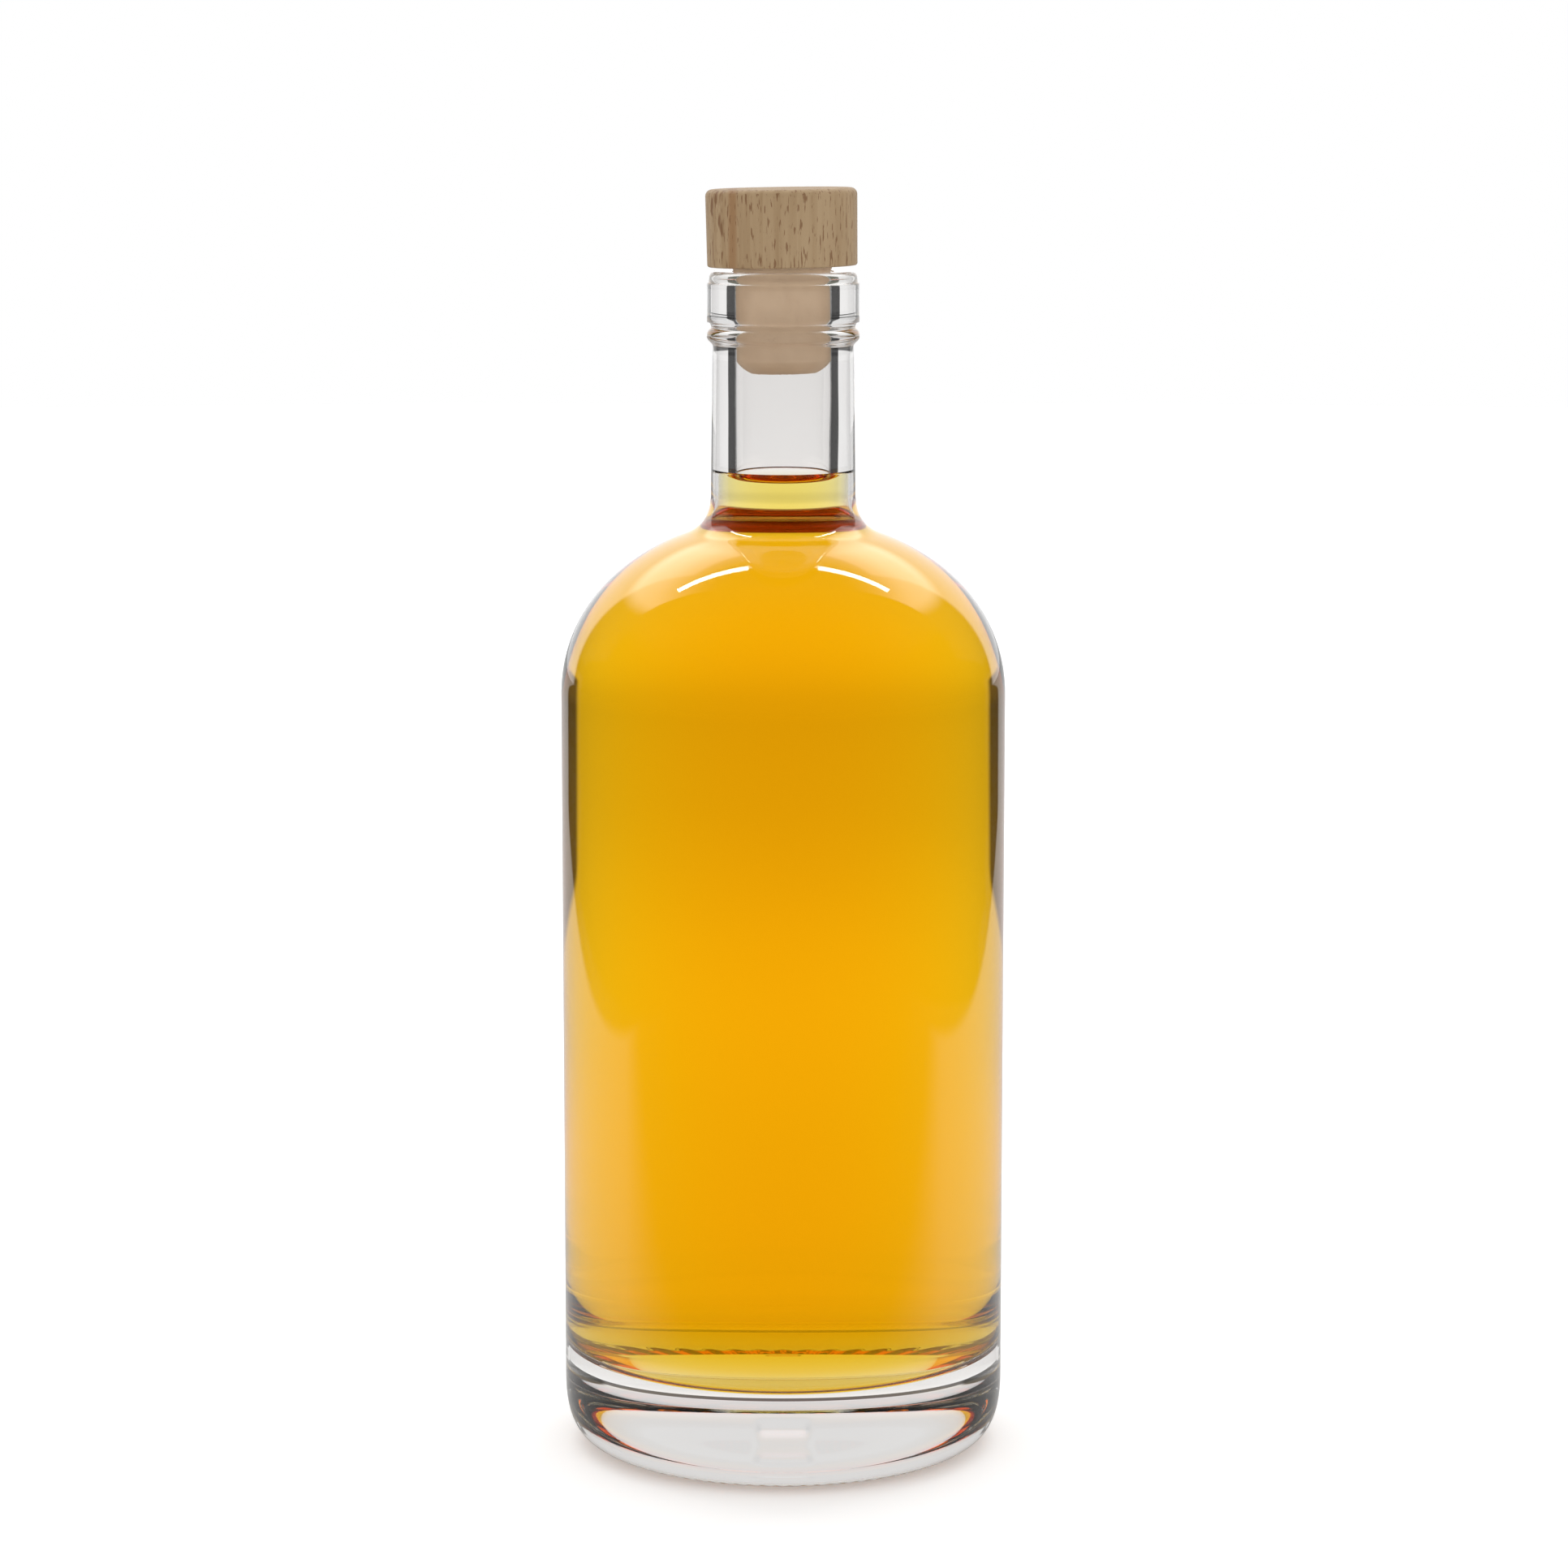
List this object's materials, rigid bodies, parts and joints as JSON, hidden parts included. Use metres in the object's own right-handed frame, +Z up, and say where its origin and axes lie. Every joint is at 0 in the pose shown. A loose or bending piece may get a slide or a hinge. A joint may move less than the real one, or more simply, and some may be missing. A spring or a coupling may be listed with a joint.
{
  "type": "glass bottle",
  "caption": "Clear heavy-base round glass bottle with domed shoulders, filled with amber spirit and closed by a wooden-headed stopper.",
  "frame": {"origin": "centre of the base, on the surface the bottle stands on", "axes": "+Z up along the bottle's axis, -Y towards the front seen in the picture, +X to the right of that view"},
  "size_m": [0.0852, 0.0852, 0.243],
  "materials": {
    "clear_glass": "smooth clear flint glass",
    "amber_liquid": "clear amber liquid",
    "beech_wood": "turned, sanded, unvarnished, grain upright",
    "beige_synthetic_cork": "matt closed-cell plastic cork"
  },
  "bodies": {
    "bottle": {"glass_bottle": "clear_glass", "spirit_fill": "amber_liquid"},
    "stopper": {"stopper_head": "beech_wood", "stopper_shank": "beige_synthetic_cork"}
  },
  "joints": [
    {"name": "stopper_pull", "type": "slide", "parent": "bottle", "child": "stopper", "axis": [0, 0, 1], "range_m": [0, 0.035]}
  ]
}
